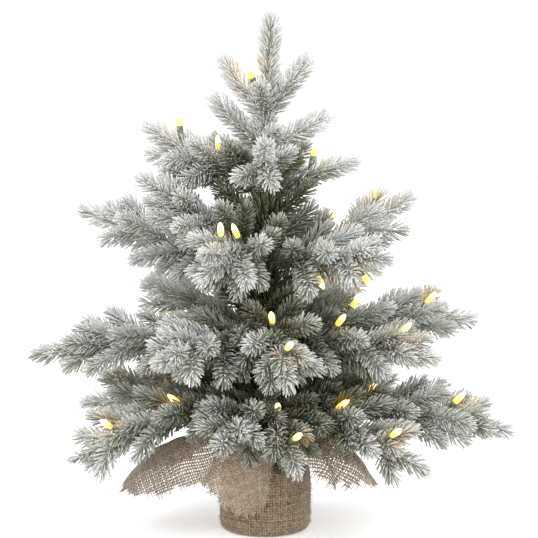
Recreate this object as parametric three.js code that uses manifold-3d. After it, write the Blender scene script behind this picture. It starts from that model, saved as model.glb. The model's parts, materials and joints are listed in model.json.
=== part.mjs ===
// Artificial tabletop tree: a frosted, pre-lit tree of hinged wire branches on a weighted base in burlap.
// Millimetres, +Z up. The origin is the centre of the base's flat underside, and the front faces -Y.
import * as THREE from "three";
import { mergeVertices } from "three/addons/utils/BufferGeometryUtils.js";
import Module from "manifold-3d";

const wasm = await Module();
wasm.setup();

// ---- Driving dimensions ----
const TREE_HEIGHT = 600; // to the hard tip of the leader, without its last needles
const GAP = 0.3; // clearance between pieces that touch

const BASE_RADIUS = 54;
const CLOTH = 1.7; // thickness of the burlap over the base
const POT_HEIGHT = 68;
const POT_WALL = 1.8;
const WEIGHT_TOP = 58;
const NECK_HEIGHT = 100; // where the burlap closes round the trunk
const NECK_RADIUS = 12.4;

const TRUNK_RADIUS = 5;
const TRUNK_FOOT = 12.3;
const TRUNK_TOP = 434;
const TAPE_RADIUS = 6.4;
const TAPE_FOOT = 114;
const BINDING_RADIUS = 9;
const BINDING_HEIGHT = 12;

const SLEEVE_RADIUS = 8.4; // round the tape between two tiers
const INNER_LENGTH = 62; // of the short sprigs near the trunk
const INNER_RISE = 38; // degrees
const PIVOT_RADIUS = 8.2; // from the trunk's axis to the bend in each branch wire
const WIRE_RADIUS = 1.3;
const BARE_WIRE = 30; // from the bend to the first needles
const STEM_START = BARE_WIRE + 6; // where the needles round a branch's wire reach their full width
const STEM_TAPER = 30; // over which they narrow to its tip
const STEM_RADIUS = 5; // the dense core of needles round a branch's own wire
const SPRIG_RADIUS = 4.6; // the same round a side sprig
const SPRIG_ANGLE = 40; // degrees between a side sprig and its branch
const SPRIG_PITCH = 33; // between two pairs of side sprigs
const FIRST_SPRIG = 44;
const LAST_SPRIG = 62; // from the last pair to the branch's tip
const SPRIG_SHARE = 0.68; // of the length of branch beyond it
const SHORT_SPRIG = 48;
const LONG_SPRIG = 76;

const CORD_RADIUS = 1.1;
const CORD_OFFSET = 8.3; // from a branch's wire to the light cord that is clipped along it
const SOCKET_RADIUS = 3.4;
const SOCKET_LENGTH = 16;
const BULB_RADIUS = 3.1;
const BULB_LENGTH = 19;
const LAMP_ANGLE = 52; // degrees between a lamp and its branch
const LAMP_LEAN = 14; // degrees to one side
const ONE_LAMP_LENGTH = 140; // a shorter branch carries one lamp, a longer one two
const UNLIT_EVERY = 4; // the light string passes by every fourth branch

// Each tier is a ring of branches bound to the trunk, with short inner sprigs at some azimuths above it.
// A branch is [azimuth, rise, bend, length]: degrees round from +X, degrees above the horizontal at its
// root, degrees that it turns up by its tip, and its length along the wire.
// Rolls of alternate pairs of side sprigs round their branch, in degrees: 0 is to its left, 90 is on top.
const UP_AND_DOWN = [[30, 210], [150, 330]];
const UPPER_SIDE = [[22, 158], [55, 125]];
const TIERS = [
  {
    height: 150,
    rolls: UPPER_SIDE,
    inner: [30, 90, 182, 228, 272, 306],
    branches: [
      [352, -1, -8, 282],
      [325, -8, -12, 218],
      [283, -6, -24, 158],
      [255, 1, -10, 188],
      [205, -6, -10, 242],
      [160, -1, -6, 230],
      [108, -2, -8, 226],
      [48, -1, -8, 232],
    ],
  },
  {
    height: 232,
    rolls: UP_AND_DOWN,
    inner: [40, 112, 208, 258, 302, 350],
    branches: [
      [184, -2, -5, 264],
      [9, 6, -6, 246],
      [278, 16, -52, 182],
      [237, 4, -10, 205],
      [335, 0, -8, 206],
      [60, 10, -4, 225],
      [130, 10, -2, 236],
    ],
  },
  {
    height: 318,
    rolls: UP_AND_DOWN,
    inner: [10, 60, 110, 192, 288, 336],
    branches: [
      [174, 10, 12, 218],
      [24, 13, 16, 202],
      [318, 10, -8, 176],
      [248, 16, -14, 170],
      [207, 38, -6, 182],
      [96, 12, 4, 188],
    ],
  },
  {
    height: 400,
    rolls: UP_AND_DOWN,
    inner: [35, 220, 310, 180],
    branches: [
      [186, 28, 6, 150],
      [350, 26, -10, 104],
      [270, 34, -6, 122],
      [85, 26, 4, 132],
    ],
  },
];

// ---- Helpers ----
const radians = THREE.MathUtils.degToRad;

function solidOf(geometry) {
  const bare = geometry.clone();
  for (const name of ["normal", "uv", "uv1", "uv2"]) bare.deleteAttribute(name);
  const merged = mergeVertices(bare, 1e-4);
  return new wasm.Manifold(
    new wasm.Mesh({
      numProp: 3,
      vertProperties: new Float32Array(merged.attributes.position.array),
      triVerts: new Uint32Array(merged.index.array),
    }),
  );
}

function geometryOf(solid) {
  const mesh = solid.getMesh();
  const geometry = new THREE.BufferGeometry();
  geometry.setAttribute("position", new THREE.BufferAttribute(mesh.vertProperties, 3));
  geometry.setIndex(new THREE.BufferAttribute(mesh.triVerts, 1));
  geometry.computeVertexNormals();
  return geometry;
}

function joined(geometries) {
  const solids = geometries.map(solidOf);
  return geometryOf(solids.slice(1).reduce((whole, next) => whole.add(next), solids[0]));
}

// A turned solid round +Z from its outline of [radius, height] points, going up the outside.
function turned(outline, sides) {
  const points = outline.map(([radius, height]) => new THREE.Vector2(radius, height));
  return new THREE.LatheGeometry(points, sides).rotateX(Math.PI / 2);
}

// The same turned solid, with its +Z axis laid from a point along a direction.
function turnedAlong(outline, sides, from, direction) {
  const up = new THREE.Vector3(0, 0, 1);
  const turn = new THREE.Quaternion().setFromUnitVectors(up, direction.clone().normalize());
  return turned(outline, sides).applyQuaternion(turn).translate(from.x, from.y, from.z);
}

function tube(points, radius, sides, steps) {
  const section = new THREE.Shape();
  for (let i = 0; i < sides; i++) {
    const angle = (2 * Math.PI * i) / sides;
    const corner = [radius * Math.cos(angle), radius * Math.sin(angle)];
    if (i) section.lineTo(...corner);
    else section.moveTo(...corner);
  }
  const extrudePath = new THREE.CatmullRomCurve3(points);
  return new THREE.ExtrudeGeometry(section, { steps, curveSegments: 1, bevelEnabled: false, extrudePath });
}

function atAzimuth(degrees, radius, height) {
  return new THREE.Vector3(radius * Math.cos(radians(degrees)), radius * Math.sin(radians(degrees)), height);
}

function finish(color, roughness, metalness = 0) {
  return new THREE.MeshStandardMaterial({ color, roughness, metalness });
}

const materials = {
  needles: finish(0xa9b0a4, 0.95),
  cord: finish(0x39462f, 0.6),
  steel: finish(0x6f6f6c, 0.5, 0.8),
  tape: finish(0x4b4a35, 0.9),
  burlap: finish(0x9c8468, 1),
  twine: finish(0xb59a72, 0.95),
  pot: finish(0x2e2b27, 0.7),
  plaster: finish(0xb9b4aa, 0.95),
};

function piece(name, geometry, material) {
  const mesh = new THREE.Mesh(geometry, material);
  mesh.name = name;
  return mesh;
}

// ---- Branches ----
// A branch's wire in its own frame: it runs out along +X from the bend at the origin, turning evenly.
class Stem {
  constructor(rise, bend, length) {
    this.rise = radians(rise);
    this.turn = radians(bend) / length;
    this.length = length;
  }
  slope(s) {
    return this.rise + this.turn * s;
  }
  point(s) {
    const [start, end] = [this.rise, this.slope(s)];
    return new THREE.Vector3(
      (Math.sin(end) - Math.sin(start)) / this.turn,
      0,
      (Math.cos(start) - Math.cos(end)) / this.turn,
    );
  }
  along(s) {
    return new THREE.Vector3(Math.cos(this.slope(s)), 0, Math.sin(this.slope(s)));
  }
  // Straight out from the wire at a roll round it: 0 is to the left, 90 is up.
  out(s, roll) {
    const up = new THREE.Vector3(-Math.sin(this.slope(s)), 0, Math.cos(this.slope(s)));
    return up.multiplyScalar(Math.sin(radians(roll))).add(new THREE.Vector3(0, Math.cos(radians(roll)), 0));
  }
  // Between straight along and straight out, at an angle from the wire.
  aim(s, angle, roll) {
    const sideways = this.out(s, roll).multiplyScalar(Math.sin(radians(angle)));
    return this.along(s).multiplyScalar(Math.cos(radians(angle))).add(sideways);
  }
}

// A straight turned solid, bent so that its axis follows the stem.
function bentAlong(geometry, stem) {
  const position = geometry.attributes.position;
  for (let i = 0; i < position.count; i++) {
    const s = position.getZ(i);
    const left = stem.out(s, 0).multiplyScalar(position.getX(i));
    const up = stem.out(s, 90).multiplyScalar(position.getY(i));
    const place = stem.point(s).add(left).add(up);
    position.setXYZ(i, place.x, place.y, place.z);
  }
  return geometry;
}

function stemOutline(length) {
  const outline = [[0, -WIRE_RADIUS], [WIRE_RADIUS, 0], [WIRE_RADIUS, BARE_WIRE - 3]];
  outline.push([STEM_RADIUS, STEM_START]);
  const full = length - STEM_START - STEM_TAPER;
  const stretches = Math.round(full / 60);
  for (let i = 1; i <= stretches; i++) outline.push([STEM_RADIUS, STEM_START + (full * i) / stretches]);
  outline.push([0, length]);
  return outline;
}

const sprigOutline = (length) => [[0, 0], [SPRIG_RADIUS, length * 0.4], [0, length]];

// Where pairs of side sprigs leave a branch, as [distance along it, length of both sprigs].
function sprigPairs(length) {
  const pairs = [];
  for (let s = FIRST_SPRIG; s <= length - LAST_SPRIG; s += SPRIG_PITCH) {
    pairs.push([s, THREE.MathUtils.clamp((length - s) * SPRIG_SHARE, SHORT_SPRIG, LONG_SPRIG)]);
  }
  return pairs;
}

// The needle-covered wires of one branch: its own wire and its side sprigs, twisted together for good.
function branchSprigs(stem, rolls) {
  const parts = [bentAlong(turned(stemOutline(stem.length), 6), stem)];
  sprigPairs(stem.length).forEach(([s, sprig], pair) => {
    for (const roll of rolls[pair % 2]) {
      parts.push(turnedAlong(sprigOutline(sprig), 5, stem.point(s), stem.aim(s, SPRIG_ANGLE, roll)));
    }
  });
  return joined(parts);
}

const lampOutline = [
  [0, -0.5],
  [SOCKET_RADIUS - 0.8, 0],
  [SOCKET_RADIUS, SOCKET_LENGTH],
  [BULB_RADIUS, SOCKET_LENGTH + BULB_LENGTH - 7],
  [0, SOCKET_LENGTH + BULB_LENGTH],
];

// The stretch of the light string on one branch: cord, sockets and bulbs, on the side that the roll gives.
function branchLights(stem, count, roll, lean) {
  const places = count === 1 ? [stem.length * 0.5] : [stem.length * 0.36, stem.length * 0.72];
  const beside = (s, offset) => stem.point(s).add(stem.out(s, roll).multiplyScalar(offset));
  const end = places[count - 1] + 2;
  const route = [beside(17, 3.4), beside(26, 4.4), beside(STEM_START, CORD_OFFSET)];
  const stretches = Math.ceil((end - STEM_START) / 50);
  for (let i = 1; i <= stretches; i++) {
    route.push(beside(STEM_START + ((end - STEM_START) * i) / stretches, CORD_OFFSET));
  }
  const parts = [tube(route, CORD_RADIUS, 5, Math.ceil(end / 28))];
  places.forEach((s, i) => {
    const direction = stem.aim(s, LAMP_ANGLE, roll + (i % 2 ? -lean : lean));
    parts.push(turnedAlong(lampOutline, 6, beside(s, CORD_OFFSET), direction));
  });
  return joined(parts);
}

function branch(name, height, [azimuth, rise, bend, length], rolls, order) {
  const frame = new THREE.Group();
  frame.name = name + "_frame";
  frame.position.copy(atAzimuth(azimuth, PIVOT_RADIUS, height));
  frame.rotation.z = radians(azimuth);
  const stem = new Stem(rise, bend, length);
  frame.add(piece(name + "_sprigs", branchSprigs(stem, rolls), materials.needles));
  if (order % UNLIT_EVERY === 0) return frame;
  const lamps = length > ONE_LAMP_LENGTH ? 2 : 1;
  const lightsBelow = order % 3 === 0 && rolls === UP_AND_DOWN;
  const lights = branchLights(stem, lamps, lightsBelow ? 270 : 90, order % 2 ? LAMP_LEAN : -LAMP_LEAN);
  frame.add(piece(name + "_lights", lights, materials.cord));
  return frame;
}

// ---- Crown ----
const CROWN_FOOT = 444;
const CROWN_WIRE_TOP = 474;
// Each whorl is a ring of sprigs: azimuth, degrees from upright, and length.
const CROWN_WHORLS = [
  { height: 452, sprigs: [[12, 66, 78], [100, 56, 66], [188, 47, 80], [285, 60, 60]] },
  { height: 490, sprigs: [[0, 38, 76], [75, 42, 60], [180, 38, 74], [262, 44, 54]] },
];

function crownSprigs() {
  const bore = WIRE_RADIUS + GAP;
  const boreTop = CROWN_WIRE_TOP + GAP;
  const leader = [[0, boreTop], [bore, boreTop], [bore, CROWN_FOOT], [STEM_RADIUS, CROWN_FOOT + 4]];
  leader.push([STEM_RADIUS, TREE_HEIGHT - STEM_TAPER], [0, TREE_HEIGHT]);
  const parts = [turned(leader, 8)];
  for (const { height, sprigs } of CROWN_WHORLS) {
    for (const [azimuth, angle, length] of sprigs) {
      const direction = atAzimuth(azimuth, Math.sin(radians(angle)), Math.cos(radians(angle)));
      const from = atAzimuth(azimuth, bore + 0.6, height);
      const outline = [[0, 0], [2.6, 2], [SPRIG_RADIUS, length * 0.5], [0, length]];
      parts.push(turnedAlong(outline, 5, from, direction));
    }
  }
  return joined(parts);
}

function crownLights() {
  const side = 140;
  const route = [
    atAzimuth(side, 10.5, 452),
    atAzimuth(side, 10, 470),
    atAzimuth(side, 9.2, 500),
    atAzimuth(side + 4, 9.2, 520),
  ];
  const lamp = turnedAlong(lampOutline, 6, atAzimuth(side + 4, 9.2, 518), atAzimuth(side + 50, 0.5, 1));
  return joined([tube(route, CORD_RADIUS, 6, 8), lamp]);
}

// ---- Trunk ----
// The tape's outline swells at each tier, where it binds the ends of the branch wires to the pole.
function tapeOutline() {
  const inner = TRUNK_RADIUS + GAP;
  const outline = [[TAPE_RADIUS, TAPE_FOOT]];
  for (const { height } of TIERS) {
    const top = height - WIRE_RADIUS - 0.5;
    const foot = top - BINDING_HEIGHT;
    outline.push([TAPE_RADIUS, foot - 2], [BINDING_RADIUS, foot + 1], [BINDING_RADIUS, top - 1]);
    outline.push([TAPE_RADIUS, top]);
  }
  const bore = WIRE_RADIUS + GAP;
  outline.push([TAPE_RADIUS, TRUNK_TOP - 2], [bore + 1.1, TRUNK_TOP + 8], [bore, TRUNK_TOP + 8]);
  outline.push([bore, TRUNK_TOP + 1.5], [inner, TRUNK_TOP + 1.5]);
  // Stations down the inner wall keep its facets from being long slivers.
  outline.push(...TIERS.map(({ height }) => [inner, height]).reverse(), [inner, TAPE_FOOT]);
  return [...outline, outline[0]];
}

function trunk() {
  const pole = [[0, TRUNK_FOOT], [TRUNK_RADIUS, TRUNK_FOOT], [TRUNK_RADIUS, TRUNK_TOP], [0, TRUNK_TOP]];
  const foot = TRUNK_TOP + GAP;
  const wire = [[0, foot], [WIRE_RADIUS, foot], [WIRE_RADIUS, CROWN_WIRE_TOP], [0, CROWN_WIRE_TOP]];
  return [
    piece("trunk_pole", turned(pole, 16), materials.steel),
    piece("crown_wire", turned(wire, 8), materials.steel),
    piece("trunk_tape", turned(tapeOutline(), 14), materials.tape),
  ];
}

// Short sprigs on a sleeve of wound needles, which fill the tree round the trunk above one tier.
function innerSprigs(index) {
  const { height, inner } = TIERS[index];
  const above = TIERS[index + 1]?.height ?? TRUNK_TOP + 6;
  const [foot, top] = [height + 5, above - BINDING_HEIGHT - 5];
  const bore = TAPE_RADIUS + GAP;
  const outer = [[SLEEVE_RADIUS, foot + 2], [SLEEVE_RADIUS, top - 2]];
  const sleeve = [[bore, foot], ...outer, [bore, top], [bore, foot]];
  const parts = [turned(sleeve, 12)];
  inner.forEach((azimuth, i) => {
    const from = atAzimuth(azimuth, SLEEVE_RADIUS - 0.8, foot + (top - foot) * (i % 2 ? 0.76 : 0.26));
    const direction = atAzimuth(azimuth, 1, Math.tan(radians(INNER_RISE)));
    parts.push(turnedAlong(sprigOutline(INNER_LENGTH), 5, from, direction));
  });
  return piece(`inner_sprigs_${index + 1}`, joined(parts), materials.needles);
}

// The light string's run up the back of the trunk, through the gaps between the branches of each tier.
function trunkRun() {
  const foot = [[134, 8.6, 66], [134, 8.8, 96]];
  const climb = [[134, 126], [134, 150], [144, 190], [153, 232], [145, 275], [135, 318], [134, 360]];
  climb.push([135, 400], [140, 450]);
  const route = [...foot, ...climb.map(([azimuth, height]) => [azimuth, 10.8, height])];
  const run = tube(route.map((stop) => atAzimuth(...stop)), CORD_RADIUS, 6, 26);
  return piece("light_string_run", run, materials.cord);
}

// ---- Base ----
function base() {
  const inside = BASE_RADIUS - CLOTH;
  const weightRadius = inside - 3.4 - POT_WALL;
  const potFoot = CLOTH + GAP;
  const pot = [[0, potFoot], [inside - 4, potFoot], [inside - 1.8, POT_HEIGHT]];
  pot.push([inside - 1.8 - POT_WALL, POT_HEIGHT], [inside - 4 - POT_WALL, potFoot + POT_WALL]);
  pot.push([0, potFoot + POT_WALL]);
  const floor = potFoot + POT_WALL + GAP;
  const bore = TRUNK_RADIUS + GAP;
  const weight = [[0, floor], [weightRadius - 1.2, floor], [weightRadius + 0.4, WEIGHT_TOP]];
  weight.push([bore, WEIGHT_TOP], [bore, TRUNK_FOOT - GAP], [0, TRUNK_FOOT - GAP]);
  const outer = [[0, 0], [BASE_RADIUS - 4.5, 0], [BASE_RADIUS - 0.8, 4], [BASE_RADIUS, 16]];
  outer.push([BASE_RADIUS, 62], [BASE_RADIUS - 1.6, 74], [BASE_RADIUS - 8, 84], [30, 94]);
  outer.push([NECK_RADIUS + CLOTH, NECK_HEIGHT]);
  const inner = [[NECK_RADIUS, NECK_HEIGHT], [NECK_RADIUS, NECK_HEIGHT - 2], [29, 92.2]];
  inner.push([BASE_RADIUS - 9.6, 82.2], [inside - 1.6, 73], [inside, 62], [inside, 8]);
  inner.push([inside - 3.6, CLOTH], [0, CLOTH]);
  return [
    piece("base_pot", turned(pot, 20), materials.pot),
    piece("base_weight", turned(weight, 20), materials.plaster),
    piece("burlap_cover", turned([...outer, ...inner], 24), materials.burlap),
  ];
}

// ---- Burlap collar ----
// A square of cloth is tied round the neck, and its corners flop out and down.
const COLLAR_RADIUS = 15.2;
const COLLAR_FOOT = 101.5;
const COLLAR_UP = 11; // up through the tie
const COLLAR_TURN = 18; // from straight up to nearly level
const COLLAR_LEVEL = -4; // degrees
const COLLAR_THICKNESS = 2;
const COLLAR_STRETCHES = 4;
// Round the neck: azimuth, length of cloth, droop at its edge in degrees, and the share of its length over
// which it turns down.
const COLLAR = [
  [15, 92, -62, 1],
  [75, 168, -58, 1],
  [135, 95, -64, 1],
  [196, 193, -44, 1],
  [222, 124, -58, 0.8],
  [246, 142, -86, 0.5],
  [266, 136, -86, 0.5],
  [287, 40, -40, 1],
  [310, 64, -60, 0.8],
  [328, 130, -78, 1],
  [344, 160, -56, 1],
];

function collarAt(azimuth) {
  const next = COLLAR.findIndex(([at]) => at > azimuth);
  const after = next < 0 ? 0 : next;
  const [low, high] = [COLLAR.at(after - 1), COLLAR[after]];
  const span = (high[0] - low[0] + 360) % 360;
  const share = (((azimuth - low[0] + 360) % 360) / span) * Math.PI;
  const ease = (1 - Math.cos(share)) / 2;
  return [1, 2, 3].map((i) => low[i] + (high[i] - low[i]) * ease);
}

function smooth(t) {
  const u = THREE.MathUtils.clamp(t, 0, 1);
  return u * u * (3 - 2 * u);
}

// The line of cloth that runs out from the neck at one azimuth, as [radius, height]: three stretches
// through the tie and its turn, then even ones to the edge.
function collarLine(azimuth) {
  const [length, droop, turn] = collarAt(azimuth);
  const level = COLLAR_UP + COLLAR_TURN;
  const stations = [0, COLLAR_UP, COLLAR_UP + COLLAR_TURN / 2, level];
  const stretch = (length - level) / COLLAR_STRETCHES;
  for (let i = 1; i <= COLLAR_STRETCHES; i++) stations.push(level + stretch * i);
  const line = [[COLLAR_RADIUS, COLLAR_FOOT]];
  let [radius, height] = line[0];
  let s = 0;
  for (const station of stations.slice(1)) {
    const step = (station - s) / 12;
    for (let i = 0; i < 12; i++, s += step) {
      let slope = 90 + (COLLAR_LEVEL - 90) * smooth((s - COLLAR_UP) / COLLAR_TURN);
      slope += (droop - COLLAR_LEVEL) * smooth((s - level) / (length - level) / turn);
      radius += step * Math.cos(radians(slope));
      height += step * Math.sin(radians(slope));
    }
    line.push([radius, height]);
  }
  return line;
}

function burlapCollar() {
  const around = 28;
  const outline = [];
  for (let k = 0; k < around; k++) {
    const line = collarLine((360 * k) / around);
    const faces = [-0.5, 0.5].map((side) =>
      line.map(([radius, height], i) => {
        const [before, after] = [line[Math.max(i - 1, 0)], line[Math.min(i + 1, line.length - 1)]];
        const slope = Math.atan2(after[1] - before[1], after[0] - before[0]);
        const offset = side * COLLAR_THICKNESS;
        return [radius - offset * Math.sin(slope), height + offset * Math.cos(slope)];
      }),
    );
    outline.push([...faces[0], ...faces[1].reverse(), faces[0][0]]);
  }
  const geometry = turned(outline[0], around);
  const position = geometry.attributes.position;
  const rows = outline[0].length;
  for (let i = 0; i < position.count; i++) {
    const [k, row] = [Math.floor(i / rows) % around, i % rows];
    const place = atAzimuth((360 * k) / around, ...outline[k][row]);
    position.setXYZ(i, place.x, place.y, place.z);
  }
  return piece("burlap_collar", geometry, materials.burlap);
}

function twineTie() {
  const [ring, strand] = [COLLAR_RADIUS + 3.4, 1.7];
  const knotSide = 262;
  const turns = [4, 7].map((rise) =>
    new THREE.TorusGeometry(ring, strand, 5, 16).translate(0, 0, COLLAR_FOOT + rise),
  );
  const knot = new THREE.SphereGeometry(3.6, 6, 5).rotateX(Math.PI / 2);
  const centre = atAzimuth(knotSide, ring + 2.4, COLLAR_FOOT + 5.5);
  knot.translate(centre.x, centre.y, centre.z);
  return piece("twine_tie", joined([...turns, knot]), materials.twine);
}

// ---- The whole tree ----
const tree = new THREE.Group();
tree.add(...base(), burlapCollar(), twineTie(), ...trunk(), trunkRun());
let number = 0;
TIERS.forEach(({ height, rolls, branches }, index) => {
  tree.add(innerSprigs(index));
  for (const row of branches) {
    number += 1;
    tree.add(branch("branch_" + String(number).padStart(2, "0"), height, row, rolls, number));
  }
});
tree.add(piece("crown_sprigs", crownSprigs(), materials.needles));
tree.add(piece("crown_lights", crownLights(), materials.cord));

export default tree;
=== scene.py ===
import json
import math

import bpy
import numpy as np
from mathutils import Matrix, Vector


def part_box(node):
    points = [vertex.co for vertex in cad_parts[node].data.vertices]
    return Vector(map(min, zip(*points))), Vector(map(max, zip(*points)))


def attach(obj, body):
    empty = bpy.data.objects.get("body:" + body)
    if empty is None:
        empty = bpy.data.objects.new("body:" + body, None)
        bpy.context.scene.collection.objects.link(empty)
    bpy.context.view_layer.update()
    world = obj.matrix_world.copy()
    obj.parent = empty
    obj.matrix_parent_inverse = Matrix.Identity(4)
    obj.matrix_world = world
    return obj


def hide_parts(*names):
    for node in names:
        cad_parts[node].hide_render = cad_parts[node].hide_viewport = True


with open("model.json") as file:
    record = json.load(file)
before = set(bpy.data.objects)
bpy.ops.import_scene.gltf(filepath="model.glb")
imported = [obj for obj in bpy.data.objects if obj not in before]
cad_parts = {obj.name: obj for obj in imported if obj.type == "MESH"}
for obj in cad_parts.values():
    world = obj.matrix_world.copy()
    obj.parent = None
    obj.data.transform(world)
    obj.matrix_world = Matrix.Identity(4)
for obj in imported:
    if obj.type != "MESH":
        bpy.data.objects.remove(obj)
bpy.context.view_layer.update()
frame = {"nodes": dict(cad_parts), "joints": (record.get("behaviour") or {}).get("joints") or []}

ROOT = "trunk_and_base"
MM = 0.001
UP = np.array([0.0, 0.0, 1.0])

# The branches' own layout, in metres, as the CAD has it. A roll is in degrees round the branch's wire from
# its left side, and 90 is its upper side.
BARE_WIRE = 30 * MM
FIRST_SPRIG = 44 * MM
LAST_SPRIG = 62 * MM
SPRIG_PITCH = 33 * MM
SPRIG_ANGLE = math.radians(40)
SPRIG_SHARE = 0.68
SHORT_SPRIG = 48 * MM
LONG_SPRIG = 76 * MM
UP_AND_DOWN = ((30, 210), (150, 330))
UPPER_SIDE = ((22, 158), (55, 125))
LOWEST_TIER = 200 * MM  # hinges below this belong to the lowest tier
CORD_OFFSET = 8.3 * MM
LAMP_ANGLE = math.radians(52)
LAMP_LEAN = 14
LAMP_SHARES = (0.36, 0.72)  # how far along a branch its two lamps are
ONE_LAMP_LENGTH = 140 * MM  # a shorter branch has one lamp, halfway

# How the visible sprigs add to the CAD's
SPRIG_LIFT = 4 * MM
SPRIG_SWAY = 2 * MM
FLATTEN = 24 * MM  # how far sprigs that point up or down near a branch's tip curl back level
FRONT_DROOP = 17 * MM  # how far the tip of a sprig that points to the front hangs down
EXTRA_SPRIG_AT = 0.45  # of the pitch from one pair of side sprigs to the next
EXTRA_SPRIG_ROLL = 98
EXTRA_SPRIG_LENGTH = 0.78
# Short sprigs that fill the tree near the trunk: distance along the branch, and roll
ROOT_SPRIGS = ((32 * MM, 40), (40 * MM, 140), (48 * MM, 215), (58 * MM, 325))
ROOT_SPRIG_ANGLE = math.radians(56)
ROOT_SPRIG_LENGTH = 52 * MM
HANGING = (3, 4)  # the front branches of the lowest tier, whose lower sprigs hang before the sack
CLEAR_OF_COLLAR = 130 * MM  # the other lowest branches have no added sprigs underneath nearer than this
OVER_CORNER = 5  # the branch over the collar's longest corner has shorter needles on its own wire
OVER_CORNER_REACH = 0.6
OVER_CORNER_DROOP = 24 * MM  # and how much further its sprigs that point to the front hang down

NEEDLE_LENGTH = 18 * MM
NEEDLE_WIDTH = 0.95 * MM  # from a needle's middle line to its edge
TIP_LEAN = 19  # degrees between a twig and its last needles
SIDE_LEAN = 52  # and its other needles
MOST_FROST = 0.88
NEEDLE_BEND = 0.2  # of its length, towards the twig's tip
WHORL_STEP = 3.0 * MM  # along a twig, from one ring of needles to the next
WHORL = 7  # needles in a ring
GLOW_REACH = 17 * MM  # how far a lamp's glow is painted onto the needles round it
BULB_MIDDLE = 26 * MM  # from a lamp's clip to the middle of its bulb
BULB_ROOM = 12 * MM  # needles that end nearer than this to a bulb's middle are left out
# The tree's outline, for the frost and painted shade: its radius at the foot of the lowest sprigs, and how
# fast it narrows
OUTLINE_FOOT = 0.10
OUTLINE_RADIUS = 0.26
OUTLINE_TAPER = 0.42


# ---- Vectors ----
def unit(v):
    v = np.asarray(v, dtype=float)
    return v / np.maximum(np.linalg.norm(v, axis=-1, keepdims=True), 1e-9)


def smooth(t):
    t = np.clip(t, 0, 1)
    return t * t * (3 - 2 * t)


def blend(first, second, share):
    return first * (1 - share) + second * share


def at_azimuth(degrees, radius, height):
    a = math.radians(degrees)
    return np.array([radius * math.cos(a), radius * math.sin(a), height])


def frames_along(points):
    """Unit tangent, side and up of each point of a line, with up as near to +Z as it can be."""
    tangent = unit(np.gradient(points, axis=0))
    upright = np.where(np.abs(tangent[:, 2:3]) > 0.97, [[1.0, 0.0, 0.0]], [UP])
    side = unit(np.cross(upright, tangent))
    return tangent, side, np.cross(tangent, side)


# ---- Mesh making ----
class Build:
    """Gathers vertices, faces, tints, UVs and material numbers for one mesh."""

    def __init__(self):
        self.points, self.faces, self.tints, self.uvs, self.slots = [], [], [], [], []
        self.count = 0

    def add(self, points, faces, tints, uvs=None, slot=0):
        """points (n, 3), faces as rows of corner numbers, tints (n, 4), and uvs, a pair per face's corner."""
        self.points.append(points)
        self.tints.append(tints)
        for i, rows in enumerate(faces):
            self.faces.append(rows + self.count)
            self.uvs.append(None if uvs is None else uvs[i])
            self.slots.append(np.full(len(rows), slot))
        self.count += len(points)

    def finish(self, name, materials):
        sizes = np.concatenate([np.full(len(f), f.shape[1]) for f in self.faces])
        corners = np.concatenate([f.ravel() for f in self.faces])
        mesh = bpy.data.meshes.new(name)
        mesh.vertices.add(self.count)
        mesh.vertices.foreach_set("co", np.concatenate(self.points).astype(np.float32).ravel())
        mesh.loops.add(len(corners))
        mesh.loops.foreach_set("vertex_index", corners.astype(np.int32))
        mesh.polygons.add(len(sizes))
        mesh.polygons.foreach_set("loop_start", (np.cumsum(sizes) - sizes).astype(np.int32))
        mesh.polygons.foreach_set("material_index", np.concatenate(self.slots).astype(np.int32))
        mesh.update(calc_edges=True)
        mesh.polygons.foreach_set("use_smooth", np.full(len(sizes), True))
        tint = mesh.color_attributes.new("tint", "FLOAT_COLOR", "POINT")
        tint.data.foreach_set("color", np.concatenate(self.tints).astype(np.float32).ravel())
        if all(uv is not None for uv in self.uvs):
            layer = mesh.uv_layers.new(name="OFBake")
            uvs = np.concatenate([uv.reshape(-1, 2) for uv in self.uvs])
            layer.data.foreach_set("uv", uvs.astype(np.float32).ravel())
        mesh.validate()
        for material in materials:
            mesh.materials.append(material)
        piece = bpy.data.objects.new(name, mesh)
        bpy.context.scene.collection.objects.link(piece)
        return piece


def tube_rings(points, radii, sides):
    """Rings of corners round a line: (points, sides, 3)."""
    _, side, up = frames_along(points)
    angles = 2 * math.pi * np.arange(sides) / sides
    out = side[:, None] * np.cos(angles)[None, :, None] + up[:, None] * np.sin(angles)[None, :, None]
    return points[:, None] + out * np.asarray(radii).reshape(-1, 1, 1)


def ring_faces(rings, sides, closed_ends=True):
    """Quads between rings, and an n-gon on each end."""
    k, j = np.meshgrid(np.arange(rings - 1), np.arange(sides), indexing="ij")
    here, after = k * sides + j, k * sides + (j + 1) % sides
    quads = np.stack([here, after, after + sides, here + sides], -1).reshape(-1, 4)
    if not closed_ends:
        return [quads]
    return [quads, np.arange(sides)[None, ::-1], (rings - 1) * sides + np.arange(sides)[None, :]]


def add_tube(build, points, radii, sides, tint):
    rings = tube_rings(points, np.broadcast_to(radii, len(points)), sides)
    tints = np.broadcast_to(tint, (len(points) * sides, 4))
    build.add(rings.reshape(-1, 3), ring_faces(len(points), sides), tints)


def add_strands(build, line, tints, pitch, radius, thick):
    """Strands twisted round a line, one for each tint, at a radius from it. One turn takes up the pitch."""
    _, side, up = frames_along(line)
    travelled = distances(line)
    for strand, tint in enumerate(tints):
        turn = (2 * math.pi * (travelled / pitch + strand / len(tints)))[:, None]
        add_tube(build, line + (side * np.cos(turn) + up * np.sin(turn)) * radius, thick, 6, tint)


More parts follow.
